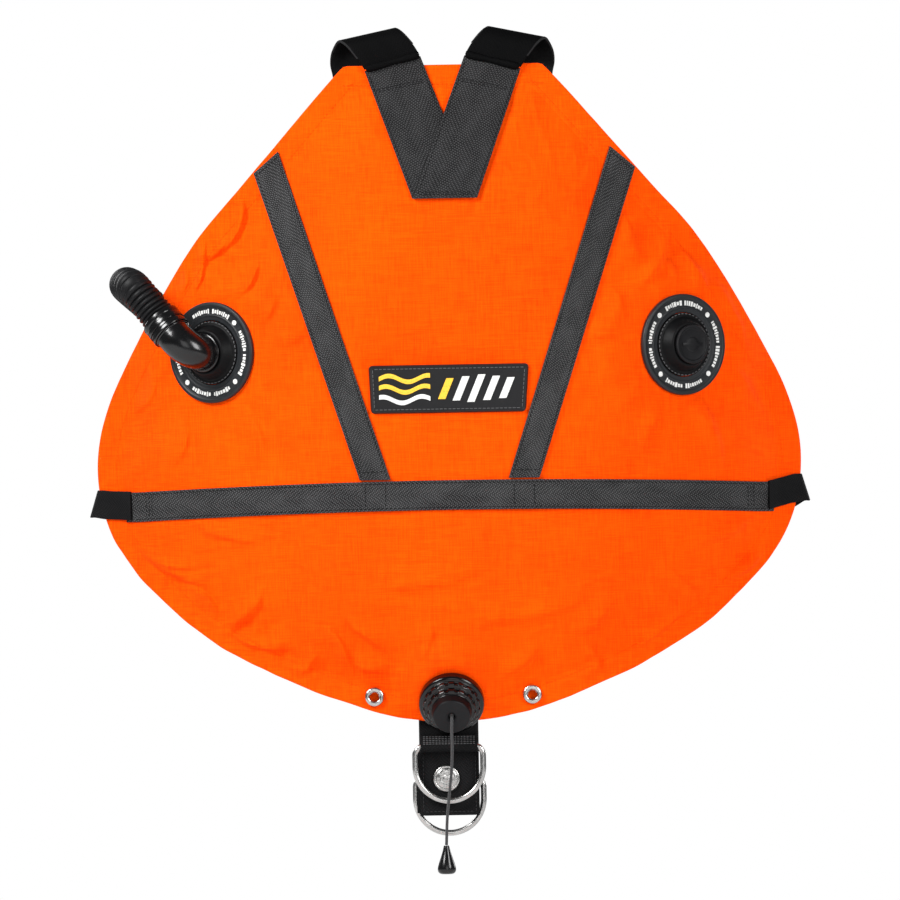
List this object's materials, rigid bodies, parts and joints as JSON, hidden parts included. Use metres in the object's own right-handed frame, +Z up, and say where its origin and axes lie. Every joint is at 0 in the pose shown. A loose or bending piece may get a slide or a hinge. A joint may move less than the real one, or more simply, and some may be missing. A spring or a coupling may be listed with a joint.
{
  "type": "side-mount diving wing",
  "caption": "Wrap-round air cell shell with shoulder loops, sewn webbing, two ports, elbow and hose to a power inflator, dump valve with pull cord, and tail rings.",
  "frame": {"origin": "level of the crests of the two shoulder loops, midway between them, in the plane of the top hem", "axes": "+Z up as it hangs, -Y out of the front panel, +X to the right seen from the front"},
  "size_m": [0.609, 0.1684, 0.7107],
  "materials": {
    "orange_fabric": "woven, coated, satin",
    "black_lining": "woven, coated, matte",
    "air_cell_film": "coated film, satin",
    "dark_webbing": "ribbed webbing, matte",
    "loop_band": "smooth band, matte",
    "tail_webbing": "ribbed webbing, matte",
    "badge_rubber": "moulded, satin",
    "port_ring_rubber": "moulded, satin",
    "soft_rubber": "moulded, matte",
    "matte_plastic": "moulded, matte",
    "gloss_plastic": "moulded, polished",
    "hose_rubber": "corrugated, satin",
    "seal_rubber": "moulded, matte",
    "red_button": "moulded, satin",
    "stainless_steel": "polished, satin",
    "cord_braid": "braided, matte",
    "zip_black": "woven tape with moulded teeth, matte"
  },
  "bodies": {
    "wing": {"shell_front": "orange_fabric", "shell_back": "black_lining", "bladder": "air_cell_film", "shoulder_web_left": "dark_webbing", "shoulder_web_right": "dark_webbing", "shoulder_loop_left": "loop_band", "shoulder_loop_right": "loop_band", "diagonal_web_left": "dark_webbing", "diagonal_web_right": "dark_webbing", "waist_web": "dark_webbing", "waist_loop_left": "dark_webbing", "waist_loop_right": "dark_webbing", "badge": "badge_rubber", "port_ring_left": "port_ring_rubber", "port_ring_right": "port_ring_rubber", "port_boot_left": "soft_rubber", "port_boot_right": "soft_rubber", "port_neck_left": "matte_plastic", "port_neck_right": "matte_plastic", "valve_base": "matte_plastic", "valve_cap": "gloss_plastic", "tail_web": "tail_webbing", "tail_backing": "tail_webbing", "ring_keeper_upper": "tail_webbing", "ring_keeper_lower": "tail_webbing", "book_screw": "stainless_steel", "book_nut": "stainless_steel", "eyelet_left": "stainless_steel", "eyelet_right": "stainless_steel", "eyelet_washer_left": "stainless_steel", "eyelet_washer_right": "stainless_steel", "zip_track": "zip_black"},
    "elbow_assembly": {"elbow": "gloss_plastic", "elbow_seal": "seal_rubber", "hose_cuff": "soft_rubber", "corrugated_hose": "hose_rubber", "inflator_cuff": "soft_rubber", "inflator_body": "matte_plastic", "mouthpiece": "soft_rubber", "air_nipple": "stainless_steel", "deflate_spring": "stainless_steel"},
    "inflate_valve": {"inflate_button": "red_button", "inflate_spring": "stainless_steel"},
    "deflate_valve": {"deflate_button": "gloss_plastic"},
    "plug_carrier": {"plug_seal": "seal_rubber"},
    "plug": {"port_plug": "matte_plastic"},
    "dump_poppet": {"valve_disc": "seal_rubber", "valve_spring": "stainless_steel"},
    "pull": {"pull_cord": "cord_braid", "pull_bead": "gloss_plastic"},
    "upper_ring": {"d_ring_upper": "stainless_steel"},
    "lower_ring": {"d_ring_lower": "stainless_steel"},
    "zip_runner": {"zip_slider": "stainless_steel"},
    "zip_tab": {"zip_pull": "stainless_steel"}
  },
  "joints": [
    {"name": "elbow_swivel", "type": "hinge", "parent": "wing", "child": "elbow_assembly", "pos_m": [-0.197, 0.01715, -0.2675], "axis": [-0.5736, -0.8192, 0], "range_deg": [-20, 3]},
    {"name": "inflate_press", "type": "slide", "parent": "elbow_assembly", "child": "inflate_valve", "axis": [-1, 0, 0], "range_m": [0, 0.003], "stiffness_N_per_m": 900},
    {"name": "deflate_press", "type": "slide", "parent": "elbow_assembly", "child": "deflate_valve", "axis": [0, 0, 1], "range_m": [0, 0.003], "stiffness_N_per_m": 900, "deforming": ["deflate_spring"]},
    {"name": "plug_travel", "type": "slide", "parent": "wing", "child": "plug_carrier", "axis": [0.5736, -0.8192, 0], "range_m": [0, 0.008]},
    {"name": "plug_turn", "type": "hinge", "parent": "plug_carrier", "child": "plug", "pos_m": [0.197, 0.01715, -0.2675], "axis": [0.5736, -0.8192, 0], "range_deg": [0, 1440]},
    {"name": "dump_pull", "type": "slide", "parent": "wing", "child": "dump_poppet", "axis": [0, -0.866, -0.5], "range_m": [0, 0.005], "stiffness_N_per_m": 900},
    {"name": "cord_swing", "type": "hinge", "parent": "dump_poppet", "child": "pull", "pos_m": [-0.0017, -0.03907, -0.57715], "axis": [1, 0, 0], "range_deg": [-80, 8]},
    {"name": "upper_ring_swing", "type": "hinge", "parent": "wing", "child": "upper_ring", "pos_m": [-0.0045, -0.0028, -0.6015], "axis": [1, 0, 0], "range_deg": [-38, 0]},
    {"name": "lower_ring_swing", "type": "hinge", "parent": "wing", "child": "lower_ring", "pos_m": [-0.0045, 0.0117, -0.6285], "axis": [1, 0, 0], "range_deg": [0, 150]},
    {"name": "zip_slide", "type": "slide", "parent": "wing", "child": "zip_runner", "axis": [0, 0, -1], "range_m": [0, 0.22]},
    {"name": "zip_tab_swing", "type": "hinge", "parent": "zip_runner", "child": "zip_tab", "pos_m": [0, 0.0225, -0.1965], "axis": [1, 0, 0], "range_deg": [0, 150]}
  ],
  "couplings": [
    {"joint": "plug_turn", "follows": "plug_travel", "rad_per_m": 3141.6}
  ]
}
